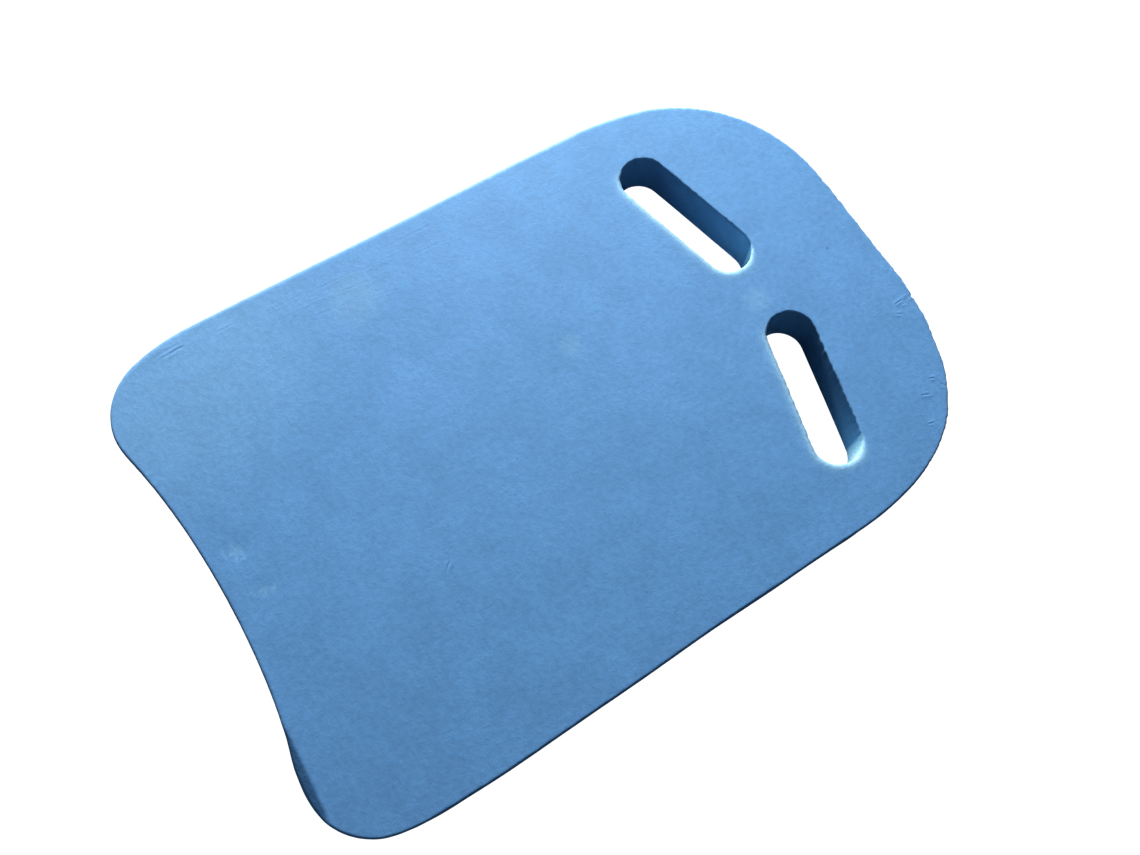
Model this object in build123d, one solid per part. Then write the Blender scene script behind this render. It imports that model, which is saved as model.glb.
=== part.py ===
from build123d import *
import os
from math import acos, atan2, cos, degrees, hypot, radians, sin, sqrt

# Kickboard float: one slab of closed-cell EVA foam with two hand slots.
# Frame: it lies flat on its underside, +Z up, +Y towards the nose, +X to the right hand.
# The origin is on the underside, halfway along the length and halfway across.
# Millimetres and degrees. An angle is measured from +X towards +Y.

# Overall sizes
board_length = 400        # nose to the lowest points of the two tail corners
board_width = 280         # at its widest, just ahead of the tail corners
board_thickness = 30

# Nose end
nose_narrowing = 9        # how much narrower the nose end is than the widest place
nose_radius = 650         # shallow crown across the nose
shoulder_radius = 86      # the round shoulder between the nose and a long side
flank_radius = 185        # the flatter arc that leads from a shoulder into a long side
flank_angle = 13          # how far the flank arc reaches round towards the nose

# Tail end
hip_radius = 95           # the flatter arc that leads from a long side into a tail corner
hip_angle = 17.5          # how far the hip arc reaches round towards the tail
tail_corner_radius = 37
hollow_depth = 11         # how far the hollow reaches into the tail at the middle

# Hand slots, one each side of the middle line
slot_length = 90          # end to end
slot_width = 27
slot_setback = 79         # nose to a slot's centre, along the middle line
slot_spacing = 120        # centre to centre, across the board
slot_tilt = 14            # outer ends turned back towards the tail

# Softened edges
rim_rounding = 2          # around the outside, top and bottom
slot_rounding = 1         # around each slot, top and bottom

nose_y = board_length / 2
tail_y = -board_length / 2


def from_centre(centre, radius, angle):
    """The point at an angle on a circle."""
    return (centre[0] + radius * cos(radians(angle)), centre[1] + radius * sin(radians(angle)))


def arc(centre, radius, start, end):
    """The stretch of a circle from one angle to another."""
    return CenterArc(centre, radius, start, end - start)


def right_half_outline():
    """The edges of the right half, from the nose to the middle of the tail, each tangent to the next."""
    # Nose end: the shoulder lies inside both the nose circle and the flank circle and touches them.
    flank_x = (board_width - nose_narrowing) / 2 - flank_radius
    shoulder_x = flank_x + (flank_radius - shoulder_radius) * cos(radians(flank_angle))
    nose_centre = (0, nose_y - nose_radius)
    shoulder_y = nose_centre[1] + sqrt((nose_radius - shoulder_radius) ** 2 - shoulder_x**2)
    shoulder_centre = (shoulder_x, shoulder_y)
    flank_centre = from_centre(shoulder_centre, shoulder_radius - flank_radius, flank_angle)
    nose_end = degrees(atan2(shoulder_y - nose_centre[1], shoulder_x))

    # Tail end: the corner lies inside the hip circle and touches it.
    hip_x = board_width / 2 - hip_radius
    hip_y = tail_y + tail_corner_radius + (hip_radius - tail_corner_radius) * sin(radians(hip_angle))
    hip_centre = (hip_x, hip_y)
    corner_centre = from_centre(hip_centre, hip_radius - tail_corner_radius, -hip_angle)

    # The hollow touches both tail corners from outside and is hollow_depth deep.
    corner_x = corner_centre[0]
    hollow_radius = (corner_x**2 + hollow_depth**2) / (2 * hollow_depth) - tail_corner_radius
    hollow_centre = (0, tail_y + hollow_depth - hollow_radius)
    hollow_start = degrees(atan2(corner_centre[1] - hollow_centre[1], corner_x))

    # The long side is the straight line that touches the flank and the hip circles.
    run_x = flank_centre[0] - hip_centre[0]
    run_y = flank_centre[1] - hip_centre[1]
    lean = acos((hip_radius - flank_radius) / hypot(run_x, run_y))
    side_normal = degrees(atan2(run_y, run_x) - lean)
    side_front = from_centre(flank_centre, flank_radius, side_normal)
    side_rear = from_centre(hip_centre, hip_radius, side_normal)

    return [
        arc(nose_centre, nose_radius, 90, nose_end),
        arc(shoulder_centre, shoulder_radius, nose_end, flank_angle),
        arc(flank_centre, flank_radius, flank_angle, side_normal),
        Line(side_front, side_rear),
        arc(hip_centre, hip_radius, side_normal, -hip_angle),
        arc(corner_centre, tail_corner_radius, -hip_angle, hollow_start - 180),
        arc(hollow_centre, hollow_radius, hollow_start, 90),
    ]


def board_outline():
    """The whole outline as a face, its left half a mirror of its right half."""
    right = right_half_outline()
    left = [mirror(edge, about=Plane.YZ) for edge in right]
    return make_face(right + left)


def slot_cutter(side):
    """A solid the shape of one hand slot, past both faces: side 1 is the right hand's, -1 the left's."""
    outline = Rot(0, 0, -side * slot_tilt) * SlotOverall(slot_length, slot_width)
    middle = Pos(side * slot_spacing / 2, nose_y - slot_setback, board_thickness / 2)
    return middle * extrude(outline, board_thickness, both=True)


def foam_board():
    """The slab, cut through by both slots, with every edge softened."""
    slab = extrude(board_outline(), board_thickness)
    slab = fillet(slab.edges().filter_by(Plane.XY), rim_rounding)
    for side in (1, -1):
        cutter = slot_cutter(side)
        pierced = slab - cutter
        mouths = new_edges(slab, cutter, combined=pierced).filter_by(Plane.XY)
        slab = fillet(mouths, slot_rounding)
    return slab


nodes = {"foam_board": foam_board()}

os.makedirs("parts", exist_ok=True)
for name, shape in nodes.items():
    export_step(shape, f"parts/{name}.step")
    box = shape.bounding_box().size
    print(f"{name}: {box.X:.2f} x {box.Y:.2f} x {box.Z:.2f} mm, {shape.volume / 1e6:.3f} litres")
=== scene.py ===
"""Kickboard float: a worn slab of foam with two hand slots, on a pale floor.

Metres, in the CAD frame: the nose points to +Y, and the underside lies at z = 0.
"""
import math

import bmesh
import bpy
import numpy as np
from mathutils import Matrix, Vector, noise
from mathutils.geometry import delaunay_2d_cdt


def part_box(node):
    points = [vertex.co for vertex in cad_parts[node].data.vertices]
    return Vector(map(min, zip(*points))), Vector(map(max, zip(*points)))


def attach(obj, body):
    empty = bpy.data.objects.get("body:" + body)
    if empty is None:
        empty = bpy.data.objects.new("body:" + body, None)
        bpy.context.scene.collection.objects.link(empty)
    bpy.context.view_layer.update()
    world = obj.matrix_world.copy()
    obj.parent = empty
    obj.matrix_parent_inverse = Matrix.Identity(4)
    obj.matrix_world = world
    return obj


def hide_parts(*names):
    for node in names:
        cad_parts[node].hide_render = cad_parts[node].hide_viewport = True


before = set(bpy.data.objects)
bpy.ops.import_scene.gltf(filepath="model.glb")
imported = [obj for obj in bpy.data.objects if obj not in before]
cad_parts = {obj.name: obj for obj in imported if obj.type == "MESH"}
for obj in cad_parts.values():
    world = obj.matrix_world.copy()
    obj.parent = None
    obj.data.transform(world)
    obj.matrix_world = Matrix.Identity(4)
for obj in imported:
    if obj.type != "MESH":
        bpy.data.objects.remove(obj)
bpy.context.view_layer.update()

MM = 0.001
CAD_NODE = "foam_board"
low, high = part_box(CAD_NODE)

# How finely the slab is meshed
curve_spacing = 0.25 * MM      # along the curve through the CAD outline's points
rim_step = 1.0 * MM            # along the outline and round the slots
top_step = 1.7 * MM            # across the top face
underside_step = 3.5 * MM
rounding_steps = 6
wall_steps = 9

# How far each edge's rounding reaches in over the face, by the way the edge faces, and how far it drops.
# The left long side is rubbed soft. The nose, the right side and the slots' shaded rims are cut crisp.
LEFT_REACH, RIGHT_REACH, NOSE_REACH, TAIL_REACH = 2.6 * MM, 1.4 * MM, 1.1 * MM, 1.6 * MM
# On the slots these reaches also place the painted highlight: the lit rims, which reach farthest, are painted
# pale.
SLOT_LIT_REACH, SLOT_SHADED_REACH = 2.4 * MM, 0.9 * MM
drop_share = 0.75              # drop down the wall, as a share of the reach
least_drop = 0.9 * MM
underside_inset = 3.0 * MM     # the last row of points, in from the underside's rounding
# Rows of points on the top face before the rounding starts: how far in, and how much of the painted highlight
# on the slots' lit rims they take
FACE_ROWS = [
    (5.2 * MM, 0.00),
    (4.2 * MM, 0.03),
    (3.3 * MM, 0.08),
    (2.4 * MM, 0.15),
    (1.5 * MM, 0.30),
    (0.7 * MM, 0.50),
]

# Uneven cutting
wall_hollow = 0.35 * MM        # a die-cut wall is a little waisted
right_lean = 0.7 * MM          # and the right long side's leans in on its way down
sway_height = 0.22 * MM        # slow wander of the cut line
tear_height = 0.35 * MM        # torn bites along the nose's and the slots' top rims
tear_start = high.z - 3 * MM   # height below which the tears fade
tear_end = high.z - 13 * MM    # and at which little of them is left
tear_left = 0.07               # their share that runs on down the wall
torn_from = high.y - 85 * MM   # where the outline starts to be torn, towards the nose
torn_over = 45 * MM
# Where the hand-trimmed outline leaves the drawn one: (place, half width, how far out), in millimetres
TRIMS = [
    ((-45.0, 199.0), 30.0, 1.3),
    ((32.0, 199.0), 14.0, 1.1),
    ((72.8, 192.7), 12.0, -1.4),
    ((112.0, 168.0), 14.0, 0.8),
    ((136.0, 75.0), 25.0, -0.6),
    ((137.0, 15.0), 38.0, -0.9),
    ((138.0, -50.0), 110.0, -0.55),
    ((139.5, -150.0), 22.0, -1.0),
    ((84.0, -198.0), 11.0, 1.15),
    ((0.0, -189.0), 60.0, 0.25),
    ((-137.0, 60.0), 75.0, 1.20),
    ((-139.0, -95.0), 70.0, 0.60),
]
# The same for the slots, where out is into the slot
SLOT_TRIMS = [
    ((-16.3, 131.9), 13.0, 1.3),
    ((103.7, 110.1), 13.0, 0.8),
]
# Bites out of the nose edge: (place, half width, how far out), in millimetres
BITES = [
    ((45.6, 198.6), 0.9, -0.9),
    ((28.4, 199.4), 0.8, -0.5),
    ((24.4, 199.6), 0.8, -0.4),
    ((97.0, 182.8), 0.8, -0.6),
    ((-14.0, 199.9), 1.2, -0.4),
    ((66.0, 195.0), 1.1, -0.5),
    ((-38.0, 198.9), 1.0, -0.4),
]

# Marks on the top face: each crease or scratch is (start, end, half width, depth), in millimetres
CREASES = [
    ((44.9, 187.2), (44.2, 191.6), 0.42, 0.16),
    ((44.2, 190.9), (45.7, 199.4), 0.45, 0.30),
    ((46.6, 189.5), (47.2, 194.5), 0.40, 0.12),
    ((21.4, 194.7), (23.4, 198.9), 0.40, 0.20),
    ((23.0, 193.2), (26.0, 199.6), 0.42, 0.26),
    ((26.9, 195.4), (28.3, 199.2), 0.40, 0.22),
    ((49.6, 184.2), (51.2, 186.8), 0.45, 0.14),
    ((93.9, 176.6), (97.0, 182.8), 0.45, 0.28),
    ((88.8, 176.0), (90.9, 182.3), 0.42, 0.20),
    ((93.8, 165.9), (95.8, 171.0), 0.45, 0.15),
    ((108.6, 159.6), (110.2, 165.8), 0.42, 0.18),
    ((112.0, 161.0), (112.9, 165.4), 0.40, 0.15),
    ((-133.0, -166.0), (-133.6, -147.0), 0.80, 0.15),
    ((-130.6, -163.0), (-131.2, -148.0), 0.70, 0.11),
    ((-129.4, -131.4), (-129.1, -120.8), 0.50, 0.06),
    ((-4.0, 121.3), (10.6, 126.9), 1.6, 0.06),
    ((39.7, -89.2), (43.1, -92.4), 0.6, 0.22),
    ((-121.5, -98.0), (-118.5, -66.0), 0.5, 0.030),
    ((-124.8, -80.0), (-123.3, -50.0), 0.5, 0.030),
    ((-117.0, -66.0), (-113.0, -36.0), 0.5, 0.030),
    ((-122.0, -50.0), (-120.5, -22.0), 0.5, 0.030),
    ((-112.0, -86.0), (-108.0, -62.0), 0.5, 0.025),
    ((-106.0, -54.0), (-101.0, -32.0), 0.5, 0.025),
    ((-116.5, -22.0), (-113.0, 8.0), 0.5, 0.025),
    ((-127.5, -30.0), (-127.0, -2.0), 0.6, 0.030),
    ((-126.5, -104.0), (-126.0, -84.0), 0.6, 0.030),
]
crease_wander = 0.3 * MM
# Shallow dents: (centre, radius, depth), in millimetres
DENTS = [
    ((-20.5, -174.8), 7.0, 0.16),
    ((4.7, -171.5), 6.0, 0.14),
    ((-27.0, 23.5), 8.0, 0.10),
    ((72.0, -20.0), 9.0, 0.10),
    ((-70.0, -60.0), 10.0, 0.10),
    ((30.0, 60.0), 9.0, 0.08),
]
# The slope trimmed off the top of the right-hand tail corner: the chord that bounds it, and its steepness
SCOOP_START = (64.0, -192.8)
SCOOP_END = (118.0, -195.6)
scoop_slope = 0.58
scoop_fade = 8 * MM            # over which the slope starts and ends, along the chord

# Marks in the skin's colour: each is (x, y, radius), in millimetres
SPECKS = [                     # tiny dark pits
    (-2.2, 175.9, 0.55),
    (-58.0, 38.0, 0.35),
    (88.0, 52.0, 0.35),
    (12.0, -33.0, 0.3),
]
KNOCKS = [                     # pale marks
    (-21.2, -177.7, 5.0),
    (-16.0, -174.5, 4.0),
    (5.5, -173.0, 3.0),
    (6.8, -167.0, 3.0),
    (3.5, -178.0, 2.5),
]
PALE_SCUFFS_AND_PAINTED_LIGHT = [                     # slightly paler places, scuffs; the last, over the whole left tail corner, is a broad pool of painted light
    (-20.5, -174.8, 5.0),
    (4.7, -171.5, 4.0),
    (-27.0, 23.5, 9.0),
    (3.0, 124.0, 10.0),
    (-110.0, -60.0, 22.0),
    # painted light: a broad pale pool over the whole left tail corner
    (-135.0, -165.0, 115.0),
]

# Colours, linear
SKIN = (0.172, 0.392, 0.700, 1)
# Paler skin for the scuffs, and for the pool of painted light over the left tail corner
SCUFF_AND_PAINTED_LIGHT_SKIN = (0.207, 0.432, 0.722, 1)
KNOCKED_SKIN = (0.250, 0.490, 0.790, 1)
CUT_FOAM = (0.180, 0.375, 0.600, 1)
# Pale colour painted on the slots' lit rims and left-facing walls as painted light
PAINTED_LIGHT_FOAM = (0.520, 0.820, 0.950, 1)
PIT = (0.030, 0.060, 0.120, 1)
WHITE = (1.0, 1.0, 1.0, 1)
SURROUND_TINT = (0.56, 0.78, 1.0, 1)
FLOOR_GREY = (0.08, 0.08, 0.08, 1)

# Stage
floor_half = 6.0
floor_glow = 0.90              # seen by the camera only, so that the floor reads as near white
key_place = (-1.16, 0.44, 0.50)
key_aim = (0.0, 0.0, 0.03)
key_width = 0.30
key_power = 32.0
surround_light = 0.13          # as it lights the board; the camera sees it at full strength
camera_place = (0.1543, -0.1182, 0.5576)
camera_turn = (19.108, -2.421, 57.566)
camera_lens = 34.31            # millimetres, for a sensor 36 mm wide
camera_sensor = 36.0


# ---------------------------------------------------------------- outline, read from the CAD slab

def loop_length(points):
    return np.linalg.norm(np.roll(points, -1, axis=0) - points, axis=1).sum()


def signed_area(points):
    """Positive for a loop that runs anticlockwise."""
    x, y = points[:, 0], points[:, 1]
    return 0.5 * np.sum(x * np.roll(y, -1) - y * np.roll(x, -1))


def trace_loops(bm):
    """The closed loops that a mesh of bare edges makes, as arrays of x and y."""
    bm.verts.index_update()
    seen, loops = set(), []
    for first in bm.verts:
        if first.index in seen:
            continue
        loop, vert = [], first
        while vert is not None:
            seen.add(vert.index)
            loop.append((vert.co.x, vert.co.y))
            ahead = [edge.other_vert(vert) for edge in vert.link_edges]
            vert = next((v for v in ahead if v.index not in seen), None)
        loops.append(np.array(loop))
    return loops


def section_loops(mesh, height):
    """The closed loops in which a mesh crosses a level plane, the longest first."""
    bm = bmesh.new()
    bm.from_mesh(mesh)
    bmesh.ops.remove_doubles(bm, verts=bm.verts, dist=0.001 * MM)
    bmesh.ops.bisect_plane(
        bm, geom=bm.verts[:] + bm.edges[:] + bm.faces[:], dist=0.0001 * MM,
        plane_co=(0, 0, height), plane_no=(0, 0, 1), clear_inner=True, clear_outer=True)
    loops = trace_loops(bm)
    bm.free()
    return sorted(loops, key=lambda points: -loop_length(points))


def drop_straight_points(points, least_turn=math.radians(0.3)):
    """Leaves out the points at which the loop doesn't turn."""
    back = points - np.roll(points, 1, axis=0)
    ahead = np.roll(points, -1, axis=0) - points
    turn = np.arctan2(back[:, 0] * ahead[:, 1] - back[:, 1] * ahead[:, 0], (back * ahead).sum(axis=1))
    return points[np.abs(turn) > least_turn]


def curve_through(points):
    """Close points on the smooth closed curve, a Hermite spline, through a loop's points."""
    ahead = np.roll(points, -1, axis=0)
    tangent = ahead - np.roll(points, 1, axis=0)
    tangent /= np.linalg.norm(tangent, axis=1, keepdims=True)
    chord = np.linalg.norm(ahead - points, axis=1)
    close = []
    for i, length in enumerate(chord):
        j = (i + 1) % len(points)
        t = np.linspace(0, 1, max(4, math.ceil(length / curve_spacing)), endpoint=False)[:, None]
        close.append(
            (2 * t**3 - 3 * t**2 + 1) * points[i] + (t**3 - 2 * t**2 + t) * tangent[i] * length
            + (3 * t**2 - 2 * t**3) * points[j] + (t**3 - t**2) * tangent[j] * length)
    return np.vstack(close)


def even_points(points, step):
    """Points at even steps along a closed loop of close points."""
    closed = np.vstack([points, points[:1]])
    run = np.concatenate([[0], np.cumsum(np.linalg.norm(np.diff(closed, axis=0), axis=1))])
    at = np.linspace(0, run[-1], round(run[-1] / step), endpoint=False)
    return np.column_stack([np.interp(at, run, closed[:, 0]), np.interp(at, run, closed[:, 1])])


def loop_normals(points):
    """The unit normal at each point of a loop that has the foam on its left, out of the foam."""
    along = np.roll(points, -1, axis=0) - np.roll(points, 1, axis=0)
    along /= np.linalg.norm(along, axis=1, keepdims=True)
    return np.column_stack([along[:, 1], -along[:, 0]])


def board_loops():
    """The outline, anticlockwise, then each slot, clockwise, so that the foam is always on the left."""
    loops = section_loops(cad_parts[CAD_NODE].data, (low.z + high.z) / 2)
    for number, points in enumerate(loops):
        anticlockwise = number == 0
        if (signed_area(points) > 0) != anticlockwise:
            points = points[::-1]
        yield even_points(curve_through(drop_straight_points(points)), rim_step)


# ---------------------------------------------------------------- shape of the worn foam

def smooth_noise(places, size, shift=0.0):
    """Perlin noise, about -1 to 1, at each place, with lumps of a size, moved on by a shift."""
    scaled = np.asarray(places) / size + shift
    return np.array([noise.noise(Vector(place)) for place in scaled])


def ease(value):
    """0 to 1 with a smooth start and end."""
    value = np.clip(value, 0, 1)
    return value * value * (3 - 2 * value)


def flat_places(points, height):
    return np.column_stack([points, np.full(len(points), height)])


def reach_of_rounding(normals, is_slot):
    """How far the rounding reaches in at each edge point, blended from the four ways an edge can face."""
    if is_slot:
        left, right, nose, tail = SLOT_LIT_REACH, SLOT_SHADED_REACH, SLOT_LIT_REACH, SLOT_SHADED_REACH
    else:
        left, right, nose, tail = LEFT_REACH, RIGHT_REACH, NOSE_REACH, TAIL_REACH
    x, y = normals[:, 0], normals[:, 1]
    return np.where(x < 0, left, right) * x**2 + np.where(y > 0, nose, tail) * y**2


def bumps_along(points, marks):
    """Rounded bumps on the outline: each mark is (place, half width, how far out), in millimetres."""
    total = np.zeros(len(points))
    for place, half_width, out in marks:
        distance = np.linalg.norm(points - np.array(place) * MM, axis=1)
        total += out * MM * np.exp(-(distance / (half_width * MM)) ** 2)
    return total


def cut_line(points, is_slot):
    """How far out the whole cut wall strays from the drawn outline at each point."""
    sway = sway_height * smooth_noise(flat_places(points, high.z), 45 * MM, 5)
    return sway + bumps_along(points, SLOT_TRIMS if is_slot else TRIMS)


def torn_rim(points, is_slot):
    """How far out the top rim strays beyond that at each point, where the cut has torn the skin."""
    here = flat_places(points, high.z)
    tear = smooth_noise(here, 2.6 * MM) + 0.7 * smooth_noise(here, 1.3 * MM, 7)
    if is_slot:
        return tear_height * tear
    tornness = 0.15 + 0.85 * ease((points[:, 1] - torn_from) / torn_over)
    return tear_height * tornness * tear + bumps_along(points, BITES)


def quarter_turn():
    """The angles from 0 to a right angle across a rounding, each with its share of the way."""
    shares = [step / rounding_steps for step in range(rounding_steps + 1)]
    return [(math.pi / 2 * share, share) for share in shares]


def row_plan(points, reach):
    """The rows round one edge, top to bottom: how far in, how high, how cut each is, and how much painted
    highlight it takes.
    """
    here, there = flat_places(points, high.z), flat_places(points, low.z)
    top_reach = reach * (1 + 0.15 * smooth_noise(here, 25 * MM, 3) + 0.12 * smooth_noise(here, 4 * MM, 13))
    low_reach = 0.7 * reach + 0.5 * MM * (1 + 0.4 * smooth_noise(there, 25 * MM, 11))
    top_drop = np.maximum(top_reach * drop_share, least_drop)
    low_drop = np.maximum(low_reach * drop_share, least_drop)
    level = np.ones(len(points))

    rows = [(top_reach + inset, high.z * level, 0.0, pale) for inset, pale in FACE_ROWS]
    for angle, share in quarter_turn():
        height = high.z - top_drop * (1 - math.cos(angle))
        rows.append((top_reach * (1 - math.sin(angle)), height, share, 1.0))
    for step in range(1, wall_steps):
        share = step / wall_steps
        height = (high.z - top_drop) * (1 - share) + (low.z + low_drop) * share
        rows.append((wall_hollow * 4 * share * (1 - share) * level, height, 1.0, 0.0))
    for angle, share in reversed(quarter_turn()):
        height = low.z + low_drop * (1 - math.cos(angle))
        rows.append((low_reach * (1 - math.sin(angle)), height, share, 0.5))
    rows.append((low_reach + underside_inset, low.z * level, 0.0, 0.0))
    return rows


def wall_places(points, normals, rows, is_slot):
    """Where the points of each row lie, with the wall's lean, its stray cut, its tears and its lumps."""
    stray = cut_line(points, is_slot)
    torn = torn_rim(points, is_slot)
    lean = 0.0 if is_slot else right_lean * np.clip(normals[:, 0], 0, 1)
    for inset, height, cut, _ in rows:
        leant = lean * (high.z - height) / (high.z - low.z)
        fade = np.clip((height - tear_end) / (tear_start - tear_end), 0, 1) ** 2
        tear = torn * (tear_left + (1 - tear_left) * fade)
        row = np.column_stack([points - normals * (inset + leant - stray - tear)[:, None], height])
        lumps_out = 0.06 * MM * smooth_noise(row, 16 * MM, 17) + 0.02 * MM * smooth_noise(row, 5 * MM, 19)
        row[:, :2] += normals * (cut * lumps_out)[:, None]
        yield row


def slot_painted_light(normals, reach):
    """Painted light on a slot: how pale each point of its rim is painted as a highlight on the lit sides, and
    how pale its walls that face the key light are painted, all the way down.
    """
    # Painted highlight: the rims on the slots' lit sides, where the rounding reaches farthest, are painted
    # pale.
    painted_light = 0.5 * ease((reach - SLOT_SHADED_REACH) / (SLOT_LIT_REACH - SLOT_SHADED_REACH))
    faces_left = -normals[:, 0]
    # Painted light: the slot walls that face left, towards the key light, are painted pale all the way down.
    return painted_light, ease((faces_left - 0.25) / 0.06)


def edge_rows(points, is_slot):
    """Each row round one edge, top to bottom: its places, how cut they are, and how much painted light they
    take.
    """
    normals = loop_normals(points)
    reach = reach_of_rounding(normals, is_slot)
    # Only the slots take painted light; the outline takes none.
    painted_light, painted_wall_light = slot_painted_light(normals, reach) if is_slot else (0 * reach, 0 * reach)
    rows = row_plan(points, reach)
    places = wall_places(points, normals, rows, is_slot)
    for row, (_, _, cut, pale) in zip(places, rows):
        yield row, np.full(len(points), cut), np.maximum(pale * painted_light, cut * painted_wall_light)


def from_segment(points, start, end):
    """How far each point is from a line, and where along it the nearest place is, 0 to 1."""
    start, end = np.array(start) * MM, np.array(end) * MM
    run = end - start
    share = np.clip(((points - start) @ run) / (run @ run), 0, 1)
    return np.linalg.norm(points - start - share[:, None] * run, axis=1), share


def scoop_chord():
    """The line that bounds the trimmed corner: its start, length and direction, and the way out across it."""
    start, end = np.array(SCOOP_START) * MM, np.array(SCOOP_END) * MM
    length = np.linalg.norm(end - start)
    along = (end - start) / length
    return start, length, along, np.array([along[1], -along[0]])


def scoop_drop(points):
    """How far the trimmed corner's slope lowers the top face."""
    start, length, along, outward = scoop_chord()
    beyond = (points - start) @ outward
    beside = (points - start) @ along
    within = ease(beside / scoop_fade) * ease((length - beside) / scoop_fade)
    return scoop_slope * np.maximum(beyond, 0) * within


def crease_rise(points, places):
    """How far the creases raise each place: a furrow with a lip along it."""
    rise = np.zeros(len(points))
    wander = np.column_stack([smooth_noise(places, 4 * MM, 31), smooth_noise(places, 4 * MM, 37)])
    for start, end, width, depth in CREASES:
        distance, share = from_segment(points + crease_wander * wander, start, end)
        across = distance / (width * MM)
        ends = ease(share * 5 + 0.2) * ease((1 - share) * 5 + 0.2)
        rise += depth * MM * ends * (0.75 * np.exp(-(across - 1.6) ** 2 / 0.5) - 0.6 * np.exp(-across**2))
    return rise


def wear_top(places):
    """Gives the top face its gentle waves, lumps, creases and dents, and the trimmed corner its slope."""
    points = places[:, :2]
    weight = ease((places[:, 2] - (high.z - 4 * MM)) / (3 * MM))
    rise = 0.13 * MM * smooth_noise(places, 55 * MM, 2) + 0.035 * MM * smooth_noise(places, 13 * MM, 9)
    rise += 0.012 * MM * smooth_noise(places, 5 * MM, 4)
    rise += crease_rise(points, places)
    for centre, radius, depth in DENTS:
        distance = np.linalg.norm(points - np.array(centre) * MM, axis=1)
        rise -= depth * MM * np.exp(-(distance / (radius * MM)) ** 2 * 2)
    places[:, 2] += weight * rise
    places[:, 2] -= scoop_drop(points) * ease((places[:, 2] - (high.z - 9 * MM)) / (7 * MM))
    return places


def wear_underside(places):
    """The underside rests flat, so its lumps only go up into the foam."""
    lumps_up = 0.5 + 0.5 * smooth_noise(places, 40 * MM, 21)
    places[:, 2] += 0.12 * MM * np.clip(lumps_up, 0, 1)
    return places


# ---------------------------------------------------------------- the slab's mesh

def grid_points(step, keep_off):
    """Points in even triangles over the board's box, away from the points that are already there."""
    row_gap = step * math.sqrt(0.75)
    found = []
    for row in range(math.ceil((high.y - low.y) / row_gap)):
        shift = step / 2 if row % 2 else 0
        xs = np.arange(low.x + shift, high.x, step)
        found.append(np.column_stack([xs, np.full(len(xs), low.y + row * row_gap)]))
    points = np.vstack(found)
    return points[clear_of(points, keep_off, 0.75 * step)]


def clear_of(points, others, gap):
    """Which points lie at least a gap from all the others, by sorting the others into square cells."""
    cells = {}
    for x, y in others:
        cells.setdefault((math.floor(x / gap), math.floor(y / gap)), []).append((x, y))
    clear = np.ones(len(points), bool)
    for i, (x, y) in enumerate(points):
        column, row = math.floor(x / gap), math.floor(y / gap)
        for cell in ((column + a, row + b) for a in (-1, 0, 1) for b in (-1, 0, 1)):
            if any((x - other[0]) ** 2 + (y - other[1]) ** 2 < gap * gap for other in cells.get(cell, ())):
                clear[i] = False
                break
    return clear


def crease_points():
    """Finer points along the corner's slope and each crease, so that their shapes are real."""
    start, length, along, outward = scoop_chord()
    found = []
    for share in np.linspace(0, 1, 60):
        for across in (-0.8, 0.0, 0.8):
            found.append(start + share * length * along + outward * across * MM)
    for start, end, width, _ in CREASES:
        start, end = np.array(start) * MM, np.array(end) * MM
        length = np.linalg.norm(end - start)
        along = (end - start) / length
        side = np.array([-along[1], along[0]])
        for step in np.arange(0, length, 0.7 * MM):
            for across in (-2.6, -1.7, -0.8, 0, 0.8, 1.7, 2.6):
                found.append(start + along * step + side * across * width * MM)
    return np.array(found)


def inside(points, loop):
    """Which points lie inside a loop, by counting crossings."""
    result = np.zeros(len(points), bool)
    ahead = np.roll(loop, -1, axis=0)
    for (x0, y0), (x1, y1) in zip(loop, ahead):
        crosses = (y0 > points[:, 1]) != (y1 > points[:, 1])
        where = (x1 - x0) * (points[:, 1] - y0) / (y1 - y0 if y1 != y0 else 1) + x0
        result ^= crosses & (points[:, 0] < where)
    return result


def in_foam(points, loops):
    """Which points lie inside the first loop, the outline, and outside the others, the slots."""
    result = inside(points, loops[0])
    for slot in loops[1:]:
        result &= ~inside(points, slot)
    return result


def triangles_between(loops, inner):
    """Triangles over the foam, with corners numbered through the loops in turn, then the inner points."""
    edges, first = [], 0
    for loop in loops:
        count = len(loop)
        edges += [(first + i, first + (i + 1) % count) for i in range(count)]
        first += count
    places = [Vector(place) for place in np.vstack([*loops, inner])]
    _, _, faces, origins, _, _ = delaunay_2d_cdt(places, edges, [], 1, 1e-9)
    source = [origin[0] for origin in origins]
    loop_of = np.repeat(np.arange(len(loops)), [len(loop) for loop in loops])
    loop_of = np.concatenate([loop_of, np.full(len(inner), -1)])
    triangles = []
    for face in faces:
        corners = [source[vert] for vert in face]
        across_slot = loop_of[corners[0]] > 0 and len({loop_of[corner] for corner in corners}) == 1
        if not across_slot:
            triangles.append(corners)
    return triangles


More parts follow.
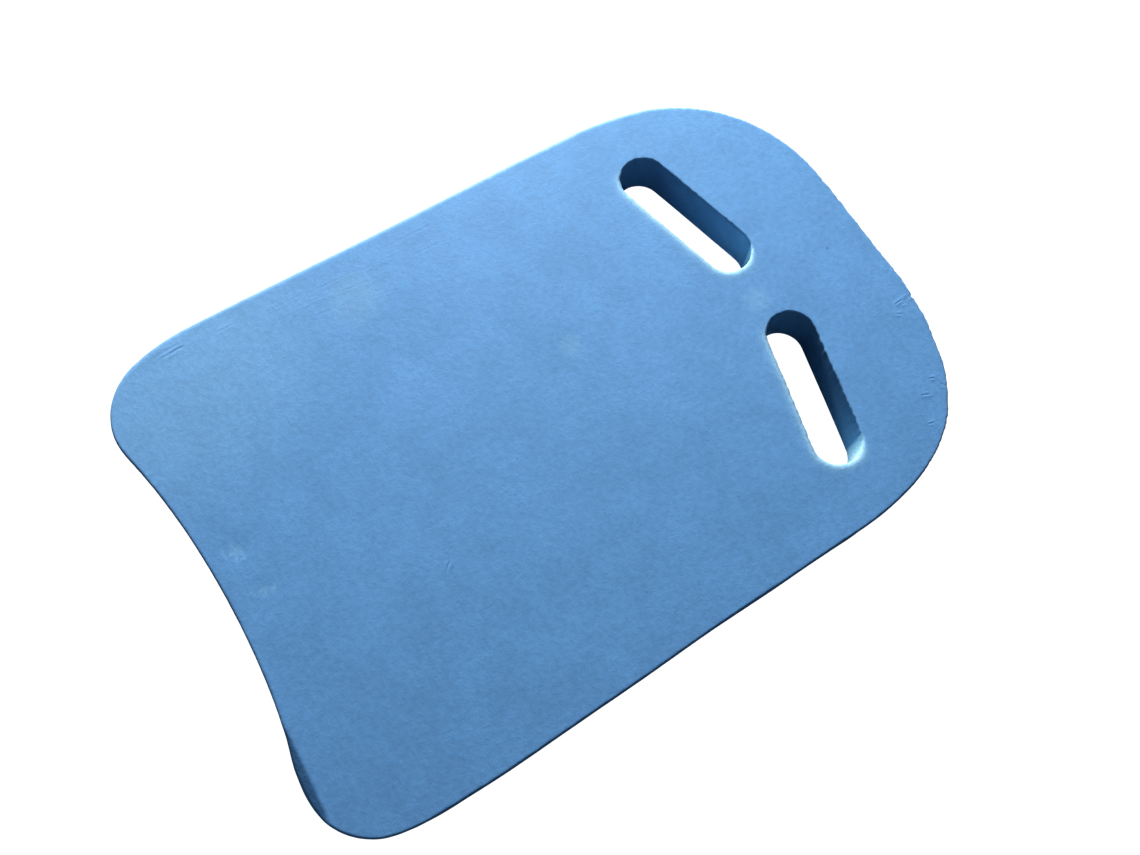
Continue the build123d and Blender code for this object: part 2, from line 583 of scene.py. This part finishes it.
class Surface:
    """The slab's points and faces as they are collected, with how cut each point is and how much painted
    light it takes.
    """

    def __init__(self):
        self.places, self.cut, self.pale, self.faces = [], [], [], []
        self.count = 0

    def add_points(self, places, cut, pale):
        """Adds points, and gives the number of the first."""
        first = self.count
        self.places.append(places)
        self.cut.append(cut)
        self.pale.append(pale)
        self.count += len(places)
        return first

    def add_edge(self, points, is_slot):
        """Adds the rows round one loop's edge. Gives the first row and the last, with their first numbers."""
        rows = list(edge_rows(points, is_slot))
        starts = [self.add_points(*row) for row in rows]
        for upper, lower in zip(starts, starts[1:]):
            for i in range(len(points)):
                j = (i + 1) % len(points)
                self.faces.append((upper + i, lower + i, lower + j, upper + j))
        return (rows[0][0][:, :2], starts[0]), (rows[-1][0][:, :2], starts[-1])

    def add_face(self, borders, height, step, extra, upward):
        """Fills one face of the slab between its borders, with the extra points that its marks need."""
        loops = [loop for loop, _ in borders]
        fits = clear_of(extra, np.vstack(loops), 0.6 * MM) & in_foam(extra, loops)
        spread = grid_points(step, np.vstack([*loops, extra[fits]]))
        inner = np.vstack([extra[fits], spread[in_foam(spread, loops)]])
        plain = np.zeros(len(inner))
        first_inner = self.add_points(flat_places(inner, height), plain, plain)
        numbers = [first + np.arange(len(loop)) for loop, first in borders]
        numbers = np.concatenate(numbers + [first_inner + np.arange(len(inner))])
        for corners in triangles_between(loops, inner):
            a, b, c = (int(numbers[corner]) for corner in corners)
            self.faces.append((a, b, c) if upward else (c, b, a))


def worn(places):
    """The slab's places with the wear on both faces, and the lowest of them on the floor."""
    upper_half = places[:, 2] > (low.z + high.z) / 2
    places[upper_half] = wear_top(places[upper_half])
    resting = places[:, 2] < low.z + 1.5 * MM
    places[resting] = wear_underside(places[resting])
    places[:, 2] -= places[:, 2].min() - low.z
    return places


def slab_mesh():
    """The whole closed skin of the slab: both faces, the outer wall and both slot walls."""
    surface = Surface()
    borders = [surface.add_edge(points, is_slot=number > 0) for number, points in enumerate(board_loops())]
    top_borders, low_borders = zip(*borders)
    surface.add_face(top_borders, high.z, top_step, crease_points(), upward=True)
    surface.add_face(low_borders, low.z, underside_step, np.zeros((0, 2)), upward=False)

    mesh = bpy.data.meshes.new("foam_slab")
    places = worn(np.vstack(surface.places))
    mesh.from_pydata([tuple(place) for place in places], [], surface.faces)
    mesh.update()
    # The second attribute is painted light: the highlight on the slots' lit rims and the light on their
    # left-facing walls.
    for name, values in (("cut", surface.cut), ("painted_light", surface.pale)):
        attribute = mesh.attributes.new(name, "FLOAT", "POINT")
        attribute.data.foreach_set("value", np.concatenate(values).astype(np.float32))
    for polygon in mesh.polygons:
        polygon.use_smooth = True
    return mesh


# ---------------------------------------------------------------- foam material

def add(tree, kind, inputs=None, **settings):
    """A node with its settings and its inputs: a value, or another node's output to link."""
    node = tree.nodes.new(kind)
    for name, value in settings.items():
        setattr(node, name, value)
    for name, value in (inputs or {}).items():
        if isinstance(value, bpy.types.NodeSocket):
            tree.links.new(value, node.inputs[name])
        else:
            node.inputs[name].default_value = value
    return node


def lumps(tree, place, per_metre, detail, rough):
    """Noise from 0 to 1 with so many lumps to the metre."""
    return add(tree, "ShaderNodeTexNoise", {
        "Vector": place, "Scale": per_metre, "Detail": detail, "Roughness": rough}).outputs["Fac"]


def maths(tree, operation, a, b=0.0, c=0.0):
    return add(tree, "ShaderNodeMath", {0: a, 1: b, 2: c}, operation=operation).outputs[0]


def ramp(tree, value, start, end, low_value=0.0, high_value=1.0):
    """A smooth step from one value to another as the input goes from start to end."""
    return add(tree, "ShaderNodeMapRange", {
        "Value": value, "From Min": start, "From Max": end, "To Min": low_value, "To Max": high_value},
        interpolation_type="SMOOTHSTEP").outputs["Result"]


def blend(tree, share, first, second):
    """A colour between two colours, each a colour or another node's output."""
    return add(tree, "ShaderNodeMix", {0: share, 6: first, 7: second}, data_type="RGBA").outputs[2]


def spots(tree, place, marks, core):
    """1 inside the core of each round mark (x, y, radius in millimetres), falling to 0 at its radius."""
    flat = add(tree, "ShaderNodeVectorMath", {0: place, 1: (1, 1, 0)}, operation="MULTIPLY").outputs[0]
    total = None
    for x, y, radius in marks:
        distance = add(tree, "ShaderNodeVectorMath", {0: flat, 1: (x * MM, y * MM, 0)}, operation="DISTANCE")
        inside_mark = ramp(tree, distance.outputs["Value"], radius * MM, radius * core * MM)
        total = inside_mark if total is None else maths(tree, "MAXIMUM", total, inside_mark)
    return total


def creased_skin(tree, place):
    """Fine leathery lines in the skin, drawn out along the board: 0 on a line, up to 1 off it."""
    warp = add(tree, "ShaderNodeTexNoise", {"Vector": place, "Scale": 90.0, "Detail": 2.0}).outputs["Color"]
    bent = add(tree, "ShaderNodeVectorMath", {0: warp, 1: (0.016, 0.016, 0.016), 2: place},
               operation="MULTIPLY_ADD").outputs[0]
    drawn = add(tree, "ShaderNodeMapping", {
        "Vector": bent, "Rotation": (0, 0, 0.35), "Scale": (1.0, 0.35, 1.0)}).outputs[0]
    cells = add(tree, "ShaderNodeTexVoronoi", {"Vector": drawn, "Scale": 260.0},
                feature="DISTANCE_TO_EDGE").outputs["Distance"]
    return ramp(tree, cells, 0.0, 0.12)


def mottle(tree, sizes):
    """The skin's uneven tone, about 1: each noise, with how far it moves the tone up and down."""
    tone = None
    for noise_value, swing in sizes:
        step = ramp(tree, noise_value, 0.30, 0.70, 1 - swing, 1 + swing)
        tone = step if tone is None else maths(tree, "MULTIPLY", tone, step)
    return tone


def foam_colour(tree, place, cut, blotch, grain):
    """The foam's colour before its mottling: skin with its marks and a pool of painted light, cut foam, pale
    painted light on the slots' lit rims and walls, and dark pits.
    """
    # How much painted light each point takes, on the slots' lit rims and left-facing walls, broken up by the
    # grain.
    painted_light = add(tree, "ShaderNodeAttribute", attribute_name="painted_light").outputs["Fac"]
    painted_light = maths(tree, "MULTIPLY", painted_light, ramp(tree, grain, 0.35, 0.62, 0.70, 1.00))
    knocked = maths(tree, "MULTIPLY", spots(tree, place, KNOCKS, 0.2), ramp(tree, blotch, 0.42, 0.60))
    # Pale scuffs, and a broad pool of painted light over the left tail corner
    skin = blend(tree, spots(tree, place, PALE_SCUFFS_AND_PAINTED_LIGHT, 0.3), SKIN, SCUFF_AND_PAINTED_LIGHT_SKIN)
    skin = blend(tree, knocked, skin, KNOCKED_SKIN)
    colour = blend(tree, cut, skin, CUT_FOAM)
    # Painted light: the slots' lit rims and left-facing walls take a pale colour.
    colour = blend(tree, painted_light, colour, PAINTED_LIGHT_FOAM)
    return blend(tree, spots(tree, place, SPECKS, 0.4), colour, PIT)


def foam_relief(tree, place, cut, heights):
    """The fine bump of the skin, and the open cells where the foam was cut: heights are (noise, weight)."""
    pores = add(tree, "ShaderNodeTexVoronoi", {"Vector": place, "Scale": 1300.0}).outputs["Distance"]
    total = 0.0
    for noise_value, weight in [*heights, (maths(tree, "MULTIPLY", pores, cut), 0.6)]:
        total = maths(tree, "MULTIPLY_ADD", noise_value, weight, total)
    bump = add(tree, "ShaderNodeBump", {"Height": total, "Strength": 1.0, "Distance": 0.10 * MM})
    return bump.outputs["Normal"]


def foam_material():
    """Closed-cell EVA: a finely mottled skin, a pale painted highlight on the slots' lit rims and painted
    light on their left-facing walls, and open cells where it was cut.
    """
    material = bpy.data.materials.new("eva_foam")
    material.use_nodes = True
    tree = material.node_tree
    shader = tree.nodes["Principled BSDF"]
    place = add(tree, "ShaderNodeTexCoord").outputs["Object"]
    cut = add(tree, "ShaderNodeAttribute", attribute_name="cut").outputs["Fac"]

    cloud = lumps(tree, place, 28, 3.0, 0.5)
    patch = lumps(tree, place, 75, 3.0, 0.55)
    blotch = lumps(tree, place, 300, 3.0, 0.6)
    grain = lumps(tree, place, 800, 2.0, 0.6)
    fine = lumps(tree, place, 2200, 2.0, 0.6)
    lines = maths(tree, "MULTIPLY", creased_skin(tree, place), ramp(tree, cloud, 0.48, 0.62))

    tone = mottle(tree, [(cloud, 0.03), (patch, 0.03), (blotch, 0.04), (grain, 0.03)])
    colour = foam_colour(tree, place, cut, blotch, grain)
    shade = add(tree, "ShaderNodeVectorMath", {0: colour, "Scale": tone}, operation="SCALE")
    tree.links.new(shade.outputs[0], shader.inputs["Base Color"])

    roughness = maths(tree, "MULTIPLY_ADD", cut, 0.15, ramp(tree, blotch, 0.30, 0.70, 0.56, 0.72))
    tree.links.new(roughness, shader.inputs["Roughness"])
    relief = foam_relief(tree, place, cut, [(blotch, 1.3), (grain, 0.55), (fine, 0.15), (lines, 0.13)])
    tree.links.new(relief, shader.inputs["Normal"])

    shader.inputs["IOR"].default_value = 1.45
    shader.inputs["Specular IOR Level"].default_value = 0.35
    shader.inputs["Subsurface Weight"].default_value = 0.12
    shader.inputs["Subsurface Radius"].default_value = (0.5, 0.8, 1.0)
    shader.inputs["Subsurface Scale"].default_value = 2.0 * MM
    return material


# ---------------------------------------------------------------- stage

def floor_material():
    """Pale floor: the camera sees it as near white, and only a faint shadow shows on it."""
    material = bpy.data.materials.new("pale_floor")
    material.use_nodes = True
    tree = material.node_tree
    tree.nodes.remove(tree.nodes["Principled BSDF"])
    matt = add(tree, "ShaderNodeBsdfDiffuse", {"Color": FLOOR_GREY})
    seen = add(tree, "ShaderNodeLightPath").outputs["Is Camera Ray"]
    glow = maths(tree, "MULTIPLY", seen, floor_glow)
    lift = add(tree, "ShaderNodeEmission", {"Color": WHITE, "Strength": glow})
    both = add(tree, "ShaderNodeAddShader", {0: matt.outputs[0], 1: lift.outputs[0]})
    tree.links.new(both.outputs[0], tree.nodes["Material Output"].inputs["Surface"])
    return material


def add_floor():
    corners = [(x * floor_half, y * floor_half, low.z) for x, y in ((-1, -1), (1, -1), (1, 1), (-1, 1))]
    mesh = bpy.data.meshes.new("floor")
    mesh.from_pydata(corners, [], [(0, 1, 2, 3)])
    mesh.materials.append(floor_material())
    floor = bpy.data.objects.new("floor", mesh)
    bpy.context.scene.collection.objects.link(floor)


def add_key_light():
    """A low white softbox beyond the left long side."""
    lamp = bpy.data.lights.new("key", "AREA")
    lamp.shape = "DISK"
    lamp.size = key_width
    lamp.energy = key_power
    softbox = bpy.data.objects.new("key", lamp)
    softbox.location = key_place
    softbox.rotation_euler = (Vector(key_aim) - Vector(key_place)).to_track_quat("-Z", "Y").to_euler()
    softbox.visible_camera = False
    bpy.context.scene.collection.objects.link(softbox)


def add_surround():
    """A weak bluish light from all round, which the camera sees as plain white."""
    world = bpy.data.worlds.new("surround")
    world.use_nodes = True
    tree = world.node_tree
    seen = add(tree, "ShaderNodeLightPath").outputs["Is Camera Ray"]
    strength = maths(tree, "MULTIPLY_ADD", seen, 1.0 - surround_light, surround_light)
    tint = blend(tree, seen, SURROUND_TINT, WHITE)
    tree.links.new(strength, tree.nodes["Background"].inputs["Strength"])
    tree.links.new(tint, tree.nodes["Background"].inputs["Color"])
    bpy.context.scene.world = world


def add_camera():
    """Above the right long side, looking nearly straight down, with the nose up and to the right."""
    camera = bpy.data.cameras.new("camera")
    camera.sensor_width = camera_sensor
    camera.lens = camera_lens
    camera.clip_start = 0.01
    view = bpy.data.objects.new("camera", camera)
    view.location = camera_place
    view.rotation_euler = [math.radians(angle) for angle in camera_turn]
    bpy.context.scene.collection.objects.link(view)
    bpy.context.scene.camera = view


# ---------------------------------------------------------------- putting it together

slab = bpy.data.objects.new("foam_slab", slab_mesh())
bpy.context.scene.collection.objects.link(slab)
slab.data.materials.append(foam_material())
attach(slab, "root")
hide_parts(CAD_NODE)

add_floor()
add_key_light()
add_surround()
add_camera()
bpy.context.scene.view_settings.view_transform = "Standard"
bpy.context.scene.view_settings.look = "Medium High Contrast"
